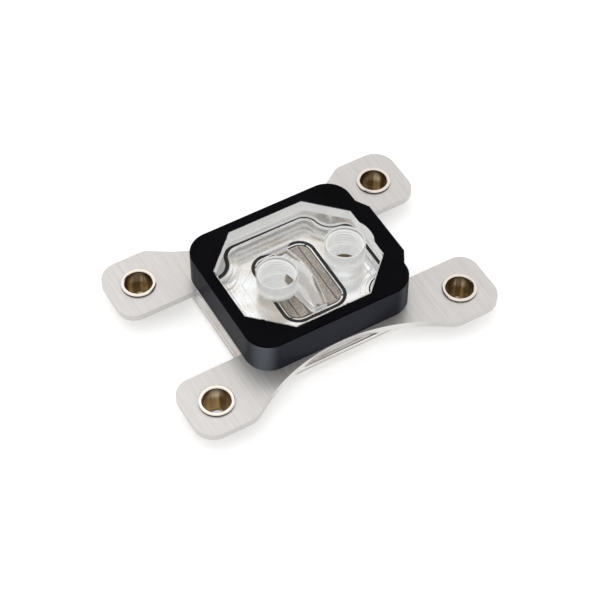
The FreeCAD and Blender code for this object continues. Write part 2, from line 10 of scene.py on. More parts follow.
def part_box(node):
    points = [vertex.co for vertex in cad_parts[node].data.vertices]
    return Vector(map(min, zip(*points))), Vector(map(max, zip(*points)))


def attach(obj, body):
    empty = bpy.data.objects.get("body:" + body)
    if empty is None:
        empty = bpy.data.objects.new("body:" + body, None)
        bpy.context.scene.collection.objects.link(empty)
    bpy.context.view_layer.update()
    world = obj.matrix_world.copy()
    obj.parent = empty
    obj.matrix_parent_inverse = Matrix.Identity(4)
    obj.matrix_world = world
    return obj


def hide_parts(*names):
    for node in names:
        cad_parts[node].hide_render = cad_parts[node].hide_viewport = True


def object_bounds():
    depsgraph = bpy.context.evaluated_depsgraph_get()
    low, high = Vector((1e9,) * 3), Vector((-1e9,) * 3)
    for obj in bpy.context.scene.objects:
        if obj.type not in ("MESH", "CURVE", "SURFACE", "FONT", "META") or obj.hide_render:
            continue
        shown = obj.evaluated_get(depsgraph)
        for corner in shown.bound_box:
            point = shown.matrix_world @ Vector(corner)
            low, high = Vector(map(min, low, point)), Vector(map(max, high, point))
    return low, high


# A liquid cooling cold plate on a white table, dressed for a studio photograph.
# Lengths are in metres. +Z points up through the ports and +Y to the back.

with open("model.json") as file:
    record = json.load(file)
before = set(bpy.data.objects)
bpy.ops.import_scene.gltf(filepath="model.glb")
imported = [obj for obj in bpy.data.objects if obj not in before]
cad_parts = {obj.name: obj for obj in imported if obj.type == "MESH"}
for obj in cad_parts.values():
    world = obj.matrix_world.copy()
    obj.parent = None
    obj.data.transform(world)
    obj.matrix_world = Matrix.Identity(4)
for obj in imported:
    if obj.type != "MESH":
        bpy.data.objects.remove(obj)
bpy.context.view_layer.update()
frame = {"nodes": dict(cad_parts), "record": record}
nodes = frame["nodes"]
MM = 0.001

# Places read from the solids
plate_low, plate_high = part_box("cold_plate")
bracket_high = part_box("mounting_bracket")[1]
frame_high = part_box("top_frame")[1]
clear_low, clear_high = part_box("clear_top")
floor_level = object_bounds()[0].z
ports = [Vector(m["pos_m"]) for m in frame["record"]["mounts"] if m["kind"] == "threaded_hole"]
outlet = max(ports, key=lambda port: port.x)

# Camera, as the photograph was taken
CAMERA_AZIMUTH = math.radians(-29.88)
CAMERA_ELEVATION = math.radians(51.58)
CAMERA_DISTANCE = 0.5939
LENS_PIXELS = 1818.0
PICTURE = 600.0
AIM_PIXEL = (298.8, 285.0)
AIM_HEIGHT = 6.05 * MM

# Clear top: its ports with their thread, and its levels
THREAD_RADIUS = 6.58 * MM
THREAD_PITCH = 1.337 * MM
THREAD_HEIGHT = 0.75 * MM
THREAD_DEPTH = 8.3 * MM
PORT_FLOOR = clear_low.z + 3.4 * MM
PORT_RIM = clear_high.z - 0.3 * MM
LEDGE = clear_low.z + 7.4 * MM
SEAL_ROOF = clear_low.z + 1.3 * MM
JET_LEVELS = (clear_low.z + 0.5 * MM, clear_low.z + 6.5 * MM)
RECESS_LEVELS = (clear_low.z + 0.05 * MM, clear_low.z + 3.3 * MM)
CIRCLE_STEPS = 72

# Half lengths in X and Y: the jet lies within its own, the groove and the flange beyond theirs
JET_REACH = Vector((4.2 * MM, 14.2 * MM))
GROOVE_REACH = Vector((24.6 * MM, 21.0 * MM))
FLANGE_REACH = Vector((27.0 * MM, 23.3 * MM))

# Air left where the plastic lies on another piece, and depth of the veils under its cut faces
CONTACT_GAP = 0.02 * MM
FROST_DEPTH = 0.06 * MM
HAZE_RADIUS = 6.85 * MM

# Micro-fins: the field of the plate is filled again with fins at their real spacing
FIN_FIELD = Vector((9.6 * MM, 13.4 * MM))
FIN_CORNER = 3.9 * MM
FIN_BORDER = 0.35 * MM
FIN_PITCH = 0.42 * MM
FIN_THICK = 0.24 * MM
FIN_ROOT = plate_low.z + 1.1 * MM
CROSS_PITCH = 3.5 * MM
CROSS_WIDTH = 0.30 * MM


# Node helpers

def new_group(name, inputs, outputs):
    """Empty shader group with number and colour sockets. Returns it with its inner sockets."""
    kinds = {"number": "NodeSocketFloat", "colour": "NodeSocketColor"}
    group = bpy.data.node_groups.new(name, "ShaderNodeTree")
    for socket, kind, default in inputs:
        made = group.interface.new_socket(socket, in_out="INPUT", socket_type=kinds[kind])
        made.default_value = default
    for socket, kind in outputs:
        group.interface.new_socket(socket, in_out="OUTPUT", socket_type=kinds[kind])
    taken = group.nodes.new("NodeGroupInput").outputs
    return group, taken, group.nodes.new("NodeGroupOutput").inputs


def feed(tree, socket, value):
    """Link the value if it is a socket itself, and set it on the socket otherwise."""
    if isinstance(value, bpy.types.NodeSocket):
        tree.links.new(value, socket)
    else:
        socket.default_value = value


def feed_all(tree, node, values):
    """Feed sockets by their names, written with _ for a space."""
    for name, value in values.items():
        feed(tree, node.inputs[name.replace("_", " ")], value)


def add(tree, kind, **inputs):
    """New node with its inputs fed."""
    node = tree.nodes.new(kind)
    feed_all(tree, node, inputs)
    return node


def effect(tree, group, **inputs):
    """New node of a shader group with its inputs fed. Returns what it puts out."""
    node = tree.nodes.new("ShaderNodeGroup")
    node.node_tree = group
    feed_all(tree, node, inputs)
    return node.outputs


def maths(tree, operation, first, second=0.0, clamp=False):
    node = tree.nodes.new("ShaderNodeMath")
    node.operation = operation
    node.use_clamp = clamp
    feed(tree, node.inputs[0], first)
    feed(tree, node.inputs[1], second)
    return node.outputs[0]


def vector_maths(tree, operation, first, second=None):
    node = tree.nodes.new("ShaderNodeVectorMath")
    node.operation = operation
    feed(tree, node.inputs[0], first)
    if second is not None:
        feed(tree, node.inputs[1], second)
    return node.outputs["Value" if operation in ("LENGTH", "DISTANCE") else "Vector"]


def spread(tree, value, low, high, to_low=0.0, to_high=1.0):
    """Map a value from one range to another and stop at its ends."""
    node = add(tree, "ShaderNodeMapRange", Value=value, From_Min=low, From_Max=high,
               To_Min=to_low, To_Max=to_high)
    return node.outputs["Result"]


def blend_colour(tree, factor, first, second):
    node = tree.nodes.new("ShaderNodeMix")
    node.data_type = "RGBA"
    feed(tree, node.inputs["Factor"], factor)
    feed(tree, node.inputs["A"], first)
    feed(tree, node.inputs["B"], second)
    return node.outputs["Result"]


def grey(level):
    return (level, level, level, 1.0)


def object_place(tree):
    return add(tree, "ShaderNodeTexCoord").outputs["Object"]


def separate(tree, vector):
    return add(tree, "ShaderNodeSeparateXYZ", Vector=vector).outputs


def surface_normal(tree):
    return separate(tree, add(tree, "ShaderNodeNewGeometry").outputs["Normal"])


def levelness(tree):
    """1 on level faces and 0 on upright ones."""
    return maths(tree, "ABSOLUTE", surface_normal(tree)["Z"])


def drawn_out(tree, x, y, z):
    """Place on the object with a scale for each axis, which draws noise out into lines."""
    part = separate(tree, object_place(tree))
    scaled = add(tree, "ShaderNodeCombineXYZ", X=maths(tree, "MULTIPLY", part["X"], x),
                 Y=maths(tree, "MULTIPLY", part["Y"], y), Z=maths(tree, "MULTIPLY", part["Z"], z))
    return scaled.outputs[0]


# Shared effects

def vary_roughness(group, taken, given, tone):
    """Roughness that strays from its mean with the tone of the surface."""
    stray = maths(group, "MULTIPLY", maths(group, "SUBTRACT", tone, 0.5),
                  taken["Roughness Spread"])
    group.links.new(maths(group, "ADD", taken["Roughness"], stray), given["Roughness"])


def brushing_group():
    """Long fine scratches along Y: a tone, a roughness and a height to bump."""
    fine_share, broad_share = 0.88, 0.12
    group, taken, given = new_group(
        "brushing",
        [("Along", "number", 60.0), ("Across", "number", 2600.0), ("Roughness", "number", 0.3),
         ("Roughness Spread", "number", 0.1), ("Dark", "colour", grey(0.7)),
         ("Light", "colour", grey(0.85))],
        [("Color", "colour"), ("Roughness", "number"), ("Height", "number")])
    place = drawn_out(group, taken["Across"], taken["Along"], taken["Across"])
    fine = add(group, "ShaderNodeTexNoise", Vector=place, Scale=1.0, Detail=4.0, Roughness=0.65)
    broad = add(group, "ShaderNodeTexNoise", Vector=place, Scale=0.12, Detail=2.0, Roughness=0.5)
    lines = spread(group, fine.outputs["Fac"], 0.3, 0.7)
    bands = spread(group, broad.outputs["Fac"], 0.3, 0.7)
    mixed = maths(group, "ADD", maths(group, "MULTIPLY", lines, fine_share),
                  maths(group, "MULTIPLY", bands, broad_share))
    group.links.new(blend_colour(group, mixed, taken["Dark"], taken["Light"]), given["Color"])
    vary_roughness(group, taken, given, mixed)
    group.links.new(lines, given["Height"])
    return group


def grain_group():
    """Fine even grain with slow cloudy changes, for coatings, rubber, plastic and plain metal."""
    fine_share, cloud_share = 0.6, 0.4
    group, taken, given = new_group(
        "grain",
        [("Scale", "number", 4000.0), ("Cloud Scale", "number", 80.0),
         ("Roughness", "number", 0.4), ("Roughness Spread", "number", 0.08),
         ("Color", "colour", grey(0.5)), ("Cloud Color", "colour", grey(0.5))],
        [("Color", "colour"), ("Roughness", "number"), ("Height", "number")])
    place = object_place(group)
    fine = add(group, "ShaderNodeTexNoise", Vector=place, Scale=taken["Scale"], Detail=3.0,
               Roughness=0.6)
    cloud = add(group, "ShaderNodeTexNoise", Vector=place, Scale=taken["Cloud Scale"],
                Detail=3.0, Roughness=0.5)
    clouds = spread(group, cloud.outputs["Fac"], 0.35, 0.65)
    group.links.new(blend_colour(group, clouds, taken["Color"], taken["Cloud Color"]),
                    given["Color"])
    both = maths(group, "ADD", maths(group, "MULTIPLY", fine.outputs["Fac"], fine_share),
                 maths(group, "MULTIPLY", clouds, cloud_share))
    vary_roughness(group, taken, given, both)
    group.links.new(fine.outputs["Fac"], given["Height"])
    return group


def dark_lines_group():
    """Thin dark lines along X on level faces and along the side walls."""
    along, across = 25.0, 3600.0
    bare, full = 0.41, 0.51
    group, taken, given = new_group("dark_lines", [("Level", "number", 1.0)], [("Line", "number")])
    front_to_back = spread(group, taken["Level"], 0.0, 1.0, along, across)
    place = drawn_out(group, along, front_to_back, across)
    noise = add(group, "ShaderNodeTexNoise", Vector=place, Scale=1.0, Detail=1.0)
    group.links.new(spread(group, noise.outputs["Fac"], bare, full), given["Line"])
    return group


def port_distance_group():
    """How far a place is from the axis of the nearer port."""
    group, _, given = new_group("port_distance", [], [("Distance", "number")])
    place = object_place(group)
    distances = []
    for port in ports:
        away = vector_maths(group, "SUBTRACT", place, port)
        level = vector_maths(group, "MULTIPLY", away, (1, 1, 0))
        distances.append(vector_maths(group, "LENGTH", level))
    group.links.new(maths(group, "MINIMUM", *distances), given["Distance"])
    return group


BRUSHING = brushing_group()
GRAIN = grain_group()
DARK_LINES = dark_lines_group()
PORT_DISTANCE = port_distance_group()


# Finishes

def new_material(name, **sockets):
    """Principled material. Values that are the same all over sit on the shader's own sockets."""
    material = bpy.data.materials.new(name)
    material.use_nodes = True
    tree = material.node_tree
    shader = tree.nodes["Principled BSDF"]
    feed_all(tree, shader, sockets)
    return material, tree, shader


def dress(tree, shader, source, depth, colour=None, roughness=None):
    """Link the colour, roughness and bump of an effect, or the colour and roughness given."""
    tree.links.new(source["Color"] if colour is None else colour, shader.inputs["Base Color"])
    tree.links.new(source["Roughness"] if roughness is None else roughness,
                   shader.inputs["Roughness"])
    bump = add(tree, "ShaderNodeBump", Height=source["Height"], Distance=depth, Strength=1.0)
    tree.links.new(bump.outputs["Normal"], shader.inputs["Normal"])


def grained(name, depth, sockets, **grain):
    """Material that has only the grain on it."""
    material, tree, shader = new_material(name, **sockets)
    dress(tree, shader, effect(tree, GRAIN, **grain), depth)
    return material


def fin_nickel():
    return grained("fin_nickel", 0.003 * MM, {"Metallic": 1.0}, Scale=3000.0, Cloud_Scale=1300.0,
                   Roughness=0.34, Roughness_Spread=0.10, Color=(0.43, 0.375, 0.32, 1),
                   Cloud_Color=(0.69, 0.63, 0.56, 1))


def black_rubber():
    return grained("black_rubber", 0.004 * MM, {"Specular_IOR_Level": 0.12}, Scale=5000.0,
                   Cloud_Scale=200.0, Roughness=0.55, Roughness_Spread=0.10,
                   Color=(0.003, 0.003, 0.003, 1), Cloud_Color=(0.005, 0.005, 0.005, 1))


def black_oxide():
    return grained("black_oxide", 0.003 * MM, {"Metallic": 1.0}, Scale=3000.0, Cloud_Scale=300.0,
                   Roughness=0.38, Roughness_Spread=0.10, Color=(0.05, 0.05, 0.05, 1),
                   Cloud_Color=(0.07, 0.07, 0.065, 1))


def brushed_steel():
    """Brushed faces. The cut edges of the arms match them, and those of the webs are paler, a
    painted highlight.
    """
    arm_edge, web_edge_highlight = (0.60, 0.585, 0.57, 1), (0.79, 0.775, 0.755, 1)
    arm_start, web_end = 30.0 * MM, 23.0 * MM
    material, tree, shader = new_material("brushed_steel", Metallic=0.7)
    lines = effect(tree, BRUSHING, Along=70.0, Across=5000.0, Roughness=0.36,
                   Roughness_Spread=0.16, Dark=(0.52, 0.50, 0.485, 1),
                   Light=(0.69, 0.67, 0.65, 1))
    upright = spread(tree, levelness(tree), 0.3, 0.15)
    out = maths(tree, "ABSOLUTE", separate(tree, object_place(tree))["X"])
    # Painted highlight: the webs' cut edges are paler than those of the arms
    edge = blend_colour(tree, spread(tree, out, arm_start, web_end), arm_edge, web_edge_highlight)
    dress(tree, shader, lines, 0.012 * MM,
          colour=blend_colour(tree, upright, lines["Color"], edge))
    return material


def nickel_plating():
    """Plating of the plate, with thin dark lines on its borders and walls, and painted shade behind
    the outlet.
    """
    line_colour, wall_colour = (0.10, 0.085, 0.085, 1), (0.80, 0.785, 0.76, 1)
    outlet_shade_colour = (0.13, 0.095, 0.055, 1)
    outlet_shade_centre = (outlet.x + 2.3 * MM, outlet.y + 4.6 * MM, plate_high.z)
    outlet_shade_reach = (4.0 * MM, 3.6 * MM)
    port_reach = (4.6 * MM, 4.9 * MM)
    lined_depth = (1.5 * MM, 1.1 * MM)
    frame_gap = (0.2 * MM, 0.6 * MM)
    end_width = (1.8 * MM, 1.6 * MM)
    matt_roughness, matt_loss = 0.45, 0.75
    material, tree, shader = new_material("nickel_plating")
    grain = effect(tree, GRAIN, Scale=500.0, Cloud_Scale=110.0, Roughness=0.18,
                   Roughness_Spread=0.08, Color=(0.76, 0.70, 0.63, 1),
                   Cloud_Color=(0.93, 0.935, 0.94, 1))
    place = object_place(tree)
    part = separate(tree, place)
    level = levelness(tree)
    upright = spread(tree, level, 0.3, 0.15)
    # Lines on the border in front of the frame and behind it, and high on the side walls
    beyond = spread(tree, maths(tree, "ABSOLUTE", part["Y"]),
                    *(frame_high.y + gap for gap in frame_gap))
    border = maths(tree, "MULTIPLY", spread(tree, level, 0.7, 0.9), beyond)
    high = spread(tree, part["Z"], *(plate_high.z - depth for depth in lined_depth))
    lined = maths(tree, "MULTIPLY", effect(tree, DARK_LINES, Level=border)["Line"],
                  maths(tree, "ADD", border, maths(tree, "MULTIPLY", upright, high)), clamp=True)
    colour = blend_colour(tree, upright, grain["Color"], wall_colour)
    # Painted shade, dark brown, at the place that the photograph's camera sees through the bottom
    # of the outlet
    outside = spread(tree, effect(tree, PORT_DISTANCE)["Distance"], *port_reach)
    inside = spread(tree, vector_maths(tree, "DISTANCE", place, outlet_shade_centre), *outlet_shade_reach)
    outlet_shade = maths(tree, "MULTIPLY", outside, inside)
    colour = blend_colour(tree, outlet_shade, colour, outlet_shade_colour)
    # Matt borders, and less metallic at both ends, so they don't mirror the frame
    end = spread(tree, maths(tree, "ABSOLUTE", part["X"]),
                 *(plate_high.x - width for width in end_width))
    matt = maths(tree, "MULTIPLY", maths(tree, "MAXIMUM", end, border), matt_roughness)
    loss = maths(tree, "MULTIPLY", maths(tree, "MULTIPLY", end, level), matt_loss)
    tree.links.new(maths(tree, "SUBTRACT", 1.0, loss), shader.inputs["Metallic"])
    dress(tree, shader, grain, 0.012 * MM, colour=blend_colour(tree, lined, colour, line_colour),
          roughness=maths(tree, "MAXIMUM", matt, grain["Roughness"]))
    return material


def turned_nickel():
    """Pale on the faced rim. The bronze-toned bore has painted reflections and painted shade: dark
    and bright streaks, a darker mouth and a brown floor. A painted shadow darkens where the collar
    stands proud.
    """
    rim_colour, collar_shadow_colour = (0.80, 0.73, 0.66, 1), (0.06, 0.045, 0.03, 1)
    dark_reflection, bright_reflection = (0.18, 0.127, 0.07, 1), (0.66, 0.545, 0.385, 1)
    shaded_floor_colour, shaded_mouth_colour = (0.42, 0.32, 0.20, 1), (0.20, 0.145, 0.085, 1)
    reflection_across, reflection_along = 420.0, 25.0
    mouth_depth, collar_start = 3.0 * MM, 0.1 * MM
    material, tree, shader = new_material("turned_nickel", Metallic=1.0)
    grain = effect(tree, GRAIN, Scale=2500.0, Cloud_Scale=150.0, Roughness=0.25,
                   Roughness_Spread=0.06)
    # Painted reflections: dark and bright streaks up the bore, as a polished bore mirrors its
    # surroundings
    place = drawn_out(tree, reflection_across, reflection_across, reflection_along)
    noise = add(tree, "ShaderNodeTexNoise", Vector=place, Scale=1.0, Detail=2.0)
    reflection_streak = spread(tree, noise.outputs["Fac"], 0.45, 0.61)
    shaded_bore = blend_colour(tree, reflection_streak, dark_reflection, bright_reflection)
    level = levelness(tree)
    # Painted shade: a brown floor at the bottom of the bore
    shaded_bore = blend_colour(tree, spread(tree, level, 0.4, 0.6), shaded_bore, shaded_floor_colour)
    height = separate(tree, object_place(tree))["Z"]
    # Painted shade: darker towards the mouth of the bore, under the rim
    deep = spread(tree, height, bracket_high.z, bracket_high.z - mouth_depth)
    shaded_bore = blend_colour(tree, deep, shaded_mouth_colour, shaded_bore)
    proud = spread(tree, height, bracket_high.z, bracket_high.z + collar_start)
    # Painted shadow: near black on the upright faces that stand proud of the bracket, under the rim
    collar_shadow = maths(tree, "MULTIPLY", proud, spread(tree, level, 0.45, 0.25))
    rim = maths(tree, "MULTIPLY", proud, spread(tree, level, 0.25, 0.45))
    walls = blend_colour(tree, collar_shadow, shaded_bore, collar_shadow_colour)
    dress(tree, shader, grain, 0.002 * MM, colour=blend_colour(tree, rim, walls, rim_colour))
    return material


def black_coating():
    """Black coating: milled sides shinier than the top, with a painted blue sheen: faint blue on
    the sides, metallic blue on the rounded corners.
    """
    side_sheen_colour, painted_sheen_colour = (0.001, 0.002, 0.009, 1), (0.16, 0.178, 0.205, 1)
    front_gloss, painted_sheen_falloff = 0.08, 2.5
    material, tree, shader = new_material("black_coating", Specular_IOR_Level=0.05, Coat_IOR=2.2,
                                          Specular_Tint=grey(0.1), Coat_Roughness=0.32)
    grain = effect(tree, GRAIN, Scale=6000.0, Cloud_Scale=60.0, Roughness=0.40,
                   Roughness_Spread=0.10, Color=(0.002, 0.002, 0.0025, 1),
                   Cloud_Color=(0.0035, 0.0035, 0.0045, 1))
    normal = surface_normal(tree)
    sides = spread(tree, maths(tree, "ABSOLUTE", normal["Z"]), 0.6, 0.2)
    front = maths(tree, "MULTIPLY", maths(tree, "ABSOLUTE", normal["Y"]), front_gloss)
    tree.links.new(maths(tree, "MULTIPLY", sides, front), shader.inputs["Coat Weight"])
    # 1 where a side faces halfway between X and Y
    turned = maths(tree, "ABSOLUTE", maths(tree, "MULTIPLY", normal["X"],
                                           maths(tree, "MULTIPLY", normal["Y"], 2.0)))
    # Painted sheen: the rounded corners turn metallic and bluish where light catches them
    painted_sheen = maths(tree, "MULTIPLY", sides, maths(tree, "POWER", turned, painted_sheen_falloff))
    tree.links.new(painted_sheen, shader.inputs["Metallic"])
    # Painted sheen: the upright sides are tinted faintly blue
    flat = blend_colour(tree, sides, grain["Color"], side_sheen_colour)
    dress(tree, shader, grain, 0.006 * MM, colour=blend_colour(tree, painted_sheen, flat, painted_sheen_colour))
    return material


def casts_nothing(tree):
    """0 for shadow rays, so that light for the pieces under the plastic comes through it."""
    shaded = tree.nodes.new("ShaderNodeLightPath").outputs["Is Shadow Ray"]
    return maths(tree, "SUBTRACT", 1.0, shaded)


def frosted_plastic(name, thin, thick, has_thread=False):
    """Tool marks left on cut plastic: a white veil, with painted shade in the roots of a thread.

    thin and thick are how opaque it is. Its glow is painted light: an emission that stands
    in for the light that a frosted wall scatters on from inside the plastic.
    """
    painted_glow = 0.26
    root_shade_colour, crest_colour = grey(0.30), (0.84, 0.84, 0.835, 1)
    thread_top, thread_end = (1.1 * MM, 0.9 * MM), (7.2 * MM, 7.5 * MM)
    crest_reach = (6.52 * MM, 6.36 * MM)
    # Painted light: the veil glows with an emission of its own
    material, tree, shader = new_material(
        name, Base_Color=(0.96, 0.96, 0.955, 1), Specular_IOR_Level=0.2,
        Emission_Color=(1.0, 0.995, 0.985, 1), Emission_Strength=painted_glow)
    grain = effect(tree, GRAIN, Scale=2500.0, Cloud_Scale=400.0, Roughness=0.55,
                   Roughness_Spread=0.15)
    tree.links.new(grain["Roughness"], shader.inputs["Roughness"])
    if has_thread:
        distance = effect(tree, PORT_DISTANCE)["Distance"]
        height = separate(tree, object_place(tree))["Z"]
        below = spread(tree, height, *(clear_high.z - depth for depth in thread_end))
        above = spread(tree, height, *(clear_high.z - depth for depth in thread_top))
        crest = maths(tree, "MAXIMUM", spread(tree, distance, *crest_reach),
                      maths(tree, "MAXIMUM", below, above))
        # Painted shade: grey in the thread's roots, white on its crests and above and below the
        # thread
        shade = blend_colour(tree, crest, root_shade_colour, crest_colour)
        tree.links.new(shade, shader.inputs["Base Color"])
        tree.links.new(shade, shader.inputs["Emission Color"])
    veil = spread(tree, grain["Height"], 0.3, 0.7, thin, thick)
    tree.links.new(maths(tree, "MULTIPLY", veil, casts_nothing(tree)), shader.inputs["Alpha"])
    return material


def clear_acrylic():
    """Polished acrylic, rougher on its upright walls and more so round the ports."""
    wall_roughness, port_roughness = 0.25, 0.42
    port_reach, rim_depth = (6.95 * MM, 6.75 * MM), (0.02 * MM, 0.30 * MM)
    material, tree, shader = new_material(
        "clear_acrylic", Transmission_Weight=1.0, IOR=1.49, Base_Color=(0.985, 0.99, 0.99, 1),
        Specular_Tint=grey(0.25))
    height = separate(tree, object_place(tree))["Z"]
    inside = spread(tree, height, *(clear_high.z - depth for depth in rim_depth))
    near = spread(tree, effect(tree, PORT_DISTANCE)["Distance"], *port_reach)
    cut = maths(tree, "MULTIPLY", maths(tree, "MULTIPLY", near, inside), port_roughness)
    milled = maths(tree, "MULTIPLY", spread(tree, levelness(tree), 0.4, 0.2), wall_roughness)
    grain = effect(tree, GRAIN, Scale=3000.0, Cloud_Scale=200.0, Roughness=0.02,
                   Roughness_Spread=0.02)
    marks = maths(tree, "MAXIMUM", milled, cut)
    tree.links.new(maths(tree, "ADD", grain["Roughness"], marks), shader.inputs["Roughness"])
    tree.links.new(casts_nothing(tree), shader.inputs["Alpha"])
    return material


# Mesh helpers

def show(name, data):
    """New object in the scene."""
    made = bpy.data.objects.new(name, data)
    bpy.context.scene.collection.objects.link(made)
    return made


def opened(data):
    """Working copy of a mesh."""
    mesh = bmesh.new()
    mesh.from_mesh(data)
    return mesh


def closed(mesh, name):
    """Mesh data made from a working mesh, which is then freed."""
    data = bpy.data.meshes.new(name)
    mesh.to_mesh(data)
    mesh.free()
    return data


def smooth(data):
    sharpest = math.radians(28.0)
    for face in data.polygons:
        face.use_smooth = True
    data.set_sharp_from_angle(angle=sharpest)


def soften(piece, width):
    """Small rounded edges that catch the light."""
    bevel = piece.modifiers.new("edge", "BEVEL")
    bevel.width = width
    bevel.segments = 2
    bevel.limit_method = "ANGLE"
    bevel.angle_limit = math.radians(35.0)
    bevel.harden_normals = True


def finished(piece):
    """Mesh of the piece with its modifiers worked in."""
    graph = bpy.context.evaluated_depsgraph_get()
    return bpy.data.meshes.new_from_object(piece.evaluated_get(graph))


def plain_copy(node):
    """Welded copy of a node's mesh without the normals it was stored with."""
    same_place = 0.0005 * MM
    data = nodes[node].data.copy()
    if "custom_normal" in data.attributes:
        data.attributes.remove(data.attributes["custom_normal"])
    mesh = opened(data)
    bmesh.ops.remove_doubles(mesh, verts=mesh.verts, dist=same_place)
    mesh.to_mesh(data)
    mesh.free()
    return data


def put_on(name, material):
    for slot in nodes[name].material_slots:
        slot.material = material


def new_piece(name, data, material, slot, *replaced):
    """Show a mesh as a piece of the object that rides with its one body."""
    piece = show(name, data)
    data.materials.clear()
    data.materials.append(material)
    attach(piece, "root")
    if replaced:
        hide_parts(*replaced)
    return piece


# Clear top with its thread

def thread_ridge(centre, top):
    """Helical ridge that stands inwards from the wall of a port."""
    steps = int((THREAD_DEPTH / THREAD_PITCH - 1.0) * CIRCLE_STEPS)
    run_out = 0.25 * CIRCLE_STEPS
    root = THREAD_RADIUS + 0.15 * MM
    first_turn, least_height = 0.6, 0.04
    # Corners of the ridge's section: on the root or the crest, and how many pitches up
    section = [(True, -0.46), (False, -0.09), (False, 0.09), (True, 0.46)]
    mesh = bmesh.new()
    rings = []
    for step in range(steps + 1):
        angle = 2 * math.pi * step / CIRCLE_STEPS
        level = top - first_turn * THREAD_PITCH - THREAD_PITCH * step / CIRCLE_STEPS
        fade = min(1.0, step / run_out, (steps - step) / run_out)
        crest = THREAD_RADIUS - THREAD_HEIGHT * max(fade, least_height)
        ring = []
        for on_root, lift in section:
            reach = root if on_root else crest
            ring.append(mesh.verts.new((
                centre.x + reach * math.cos(angle), centre.y - reach * math.sin(angle),
                level + lift * THREAD_PITCH)))
        rings.append(ring)
    for before, after in zip(rings, rings[1:]):
        for i in range(len(section)):
            j = (i + 1) % len(section)
            mesh.faces.new((before[i], before[j], after[j], after[i]))
    mesh.faces.new(rings[0][::-1])
    mesh.faces.new(rings[-1])
    bmesh.ops.recalc_face_normals(mesh, faces=mesh.faces)
    return show("thread", closed(mesh, "thread"))


def open_contacts(data):
    """Leave a hair of air where the plastic lies on the plate, the seal and the frame."""
    same = 1e-6
    for vertex in data.vertices:
        if abs(vertex.co.z - clear_low.z) < same or abs(vertex.co.z - SEAL_ROOF) < same:
            vertex.co.z += CONTACT_GAP
        elif abs(vertex.co.z - LEDGE) < same:
            vertex.co.z -= CONTACT_GAP


def threaded_clear_top(material):
    """The clear top with a thread cut in both ports."""
    data = plain_copy("clear_top")
    open_contacts(data)
    source = show("clear_top_source", data)
    ridges = [thread_ridge(port, clear_high.z) for port in ports]
    for ridge in ridges:
        union = source.modifiers.new("thread", "BOOLEAN")
        union.operation = "UNION"
        union.solver = "EXACT"
        union.object = ridge
    shaped = finished(source)
    for spent in ridges + [source]:
        bpy.data.objects.remove(spent)
    smooth(shaped)
    return new_piece("clear_top_threaded", shaped, material, "clear_acrylic", "clear_top")


# Veils on the cut faces of the clear top, chosen face by face

def is_upright(face):
    return abs(face.normal.z) < 0.3


def on_port_wall(face):
    centre = face.calc_center_median()
    if centre.z > PORT_RIM:
        return False
    for port in ports:
        out = Vector((centre.x - port.x, centre.y - port.y))
        if out.length < THREAD_RADIUS + 0.1 * MM:
            return centre.z > PORT_FLOOR - 0.6 * MM
    return False


def on_jet_wall(face):
    centre = face.calc_center_median()
    inside = abs(centre.x) < JET_REACH.x and abs(centre.y) < JET_REACH.y
    return inside and JET_LEVELS[0] < centre.z < JET_LEVELS[1] and not on_port_wall(face)


def on_boss_wall(face):
    level = face.calc_center_median().z
    return is_upright(face) and LEDGE < level < PORT_RIM and not on_port_wall(face)


def on_flange_wall(face):
    centre = face.calc_center_median()
    outside = abs(centre.x) > FLANGE_REACH.x or abs(centre.y) > FLANGE_REACH.y
    return is_upright(face) and outside and centre.z < LEDGE - 0.1 * MM


def on_recess_wall(face):
    recessed = RECESS_LEVELS[0] < face.calc_center_median().z < RECESS_LEVELS[1]
    return is_upright(face) and recessed and not on_flange_wall(face) and not on_jet_wall(face)


def on_ledge(face):
    return face.normal.z > 0.9 and abs(face.calc_center_median().z - LEDGE) < 0.1 * MM


def frosted_skin(name, source, material, is_cut):
    """Veil just under the cut faces of the clear top. is_cut says which faces those are."""
    mesh = opened(source.data)
    polished = [face for face in mesh.faces if not is_cut(face)]
    bmesh.ops.delete(mesh, geom=polished, context="FACES")
    mesh.normal_update()
    shifts = [(vertex, -vertex.normal * FROST_DEPTH) for vertex in mesh.verts]
    for vertex, shift in shifts:
        vertex.co += shift
    data = closed(mesh, name)
    smooth(data)
    return new_piece(name, data, material, "clear_acrylic")


def port_haze(source, material):
    """Haze in the plastic behind the cut thread, open where the port's wall is open."""
    solid = BVHTree.FromPolygons([v.co for v in source.data.vertices],
                                 [face.vertices for face in source.data.polygons])
    low, high, rows = PORT_FLOOR, clear_high.z - 0.35 * MM, 20
    turns = [2 * math.pi * i / CIRCLE_STEPS for i in range(CIRCLE_STEPS)]
    mesh = bmesh.new()
    for port in ports:
        rings = [[mesh.verts.new((port.x + HAZE_RADIUS * math.cos(turn),
                                  port.y + HAZE_RADIUS * math.sin(turn),
                                  low + (high - low) * row / rows))
                  for turn in turns] for row in range(rows + 1)]
        for below, above in zip(rings, rings[1:]):
            for i in range(CIRCLE_STEPS):
                j = (i + 1) % CIRCLE_STEPS
                corners = (below[i], below[j], above[j], above[i])
                centre = sum((v.co for v in corners), Vector()) / 4
                place, normal, _, _ = solid.find_nearest(centre)
                if (centre - place).dot(normal) < 0:
                    mesh.faces.new(corners)
    data = closed(mesh, "port_haze")
    smooth(data)
    return new_piece("port_haze", data, material, "clear_acrylic")


def pressed_width(x):
    """Width of rubber pressed on the frosted roof of its groove, where it shows black.

    It is a thin line along the back and front, and nearly the whole width at both ends.
    """
    line, wide = 0.50 * MM, 1.42 * MM
    left_start, left_length = -9.0 * MM, 6.0 * MM
    right_start, right_length = 23.0 * MM, 3.0 * MM
    left = (left_start - x) / left_length
    right = (x - right_start) / right_length
    return line + (wide - line) * min(1.0, max(0.0, left, right))


